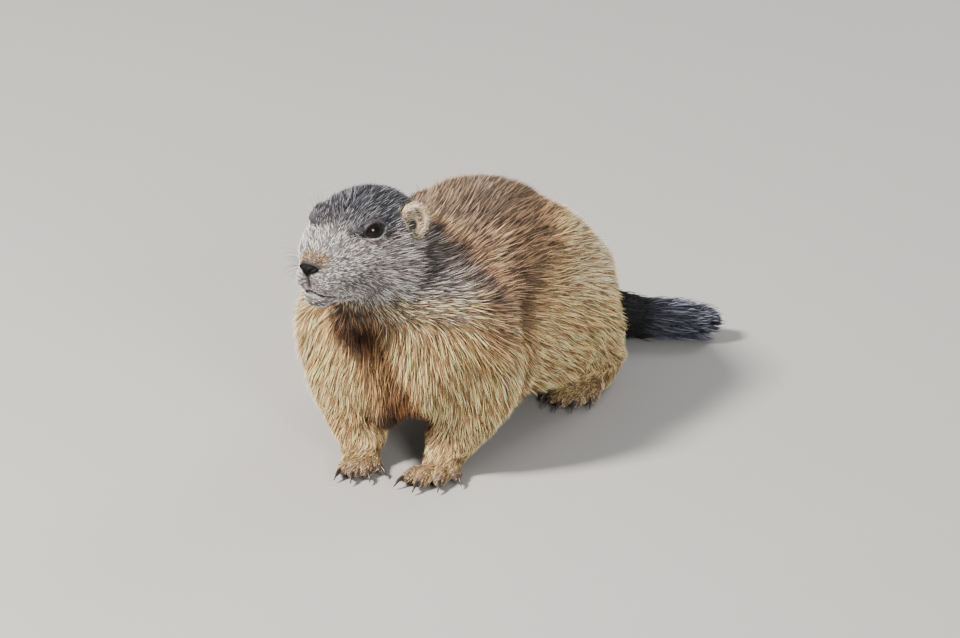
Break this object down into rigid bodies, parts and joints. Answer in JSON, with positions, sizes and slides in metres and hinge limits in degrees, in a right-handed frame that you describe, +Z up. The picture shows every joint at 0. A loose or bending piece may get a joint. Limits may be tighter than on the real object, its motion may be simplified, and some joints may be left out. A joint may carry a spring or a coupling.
{
  "type": "alpine marmot",
  "caption": "Alpine marmot standing on all fours with its head raised and its bushy tail laid on the ground to one side.",
  "frame": {"origin": "middle of the bounding box, on the floor that the soles rest on", "axes": "-Y is the way the marmot faces, +X is its left side, +Z is up"},
  "size_m": [0.2154, 0.427, 0.2185],
  "materials": {
    "ear_left": "matt short fur",
    "ear_right": "matt short fur",
    "eye_left": "glossy",
    "eye_right": "glossy",
    "fore_foot_left": "short fur, bare soles and claws",
    "fore_foot_right": "short fur, bare soles and claws",
    "fore_leg_left": "matt coarse fur",
    "fore_leg_right": "matt coarse fur",
    "head": "matt short fur",
    "hind_foot_left": "short fur, bare soles and claws",
    "hind_foot_right": "short fur, bare soles and claws",
    "hind_leg_left": "matt coarse fur",
    "hind_leg_right": "matt coarse fur",
    "neck": "matt coarse fur",
    "nose": "damp bare skin",
    "tail_base": "matt bushy fur",
    "tail_tip": "matt bushy fur",
    "torso": "matt coarse fur"
  },
  "bodies": {
    "root": {"ear_left": "ear_left", "ear_right": "ear_right", "eye_left": "eye_left", "eye_right": "eye_right", "fore_foot_left": "fore_foot_left", "fore_foot_right": "fore_foot_right", "fore_leg_left": "fore_leg_left", "fore_leg_right": "fore_leg_right", "head": "head", "hind_foot_left": "hind_foot_left", "hind_foot_right": "hind_foot_right", "hind_leg_left": "hind_leg_left", "hind_leg_right": "hind_leg_right", "neck": "neck", "nose": "nose", "tail_base": "tail_base", "tail_tip": "tail_tip", "torso": "torso"}
  },
  "joints": []
}
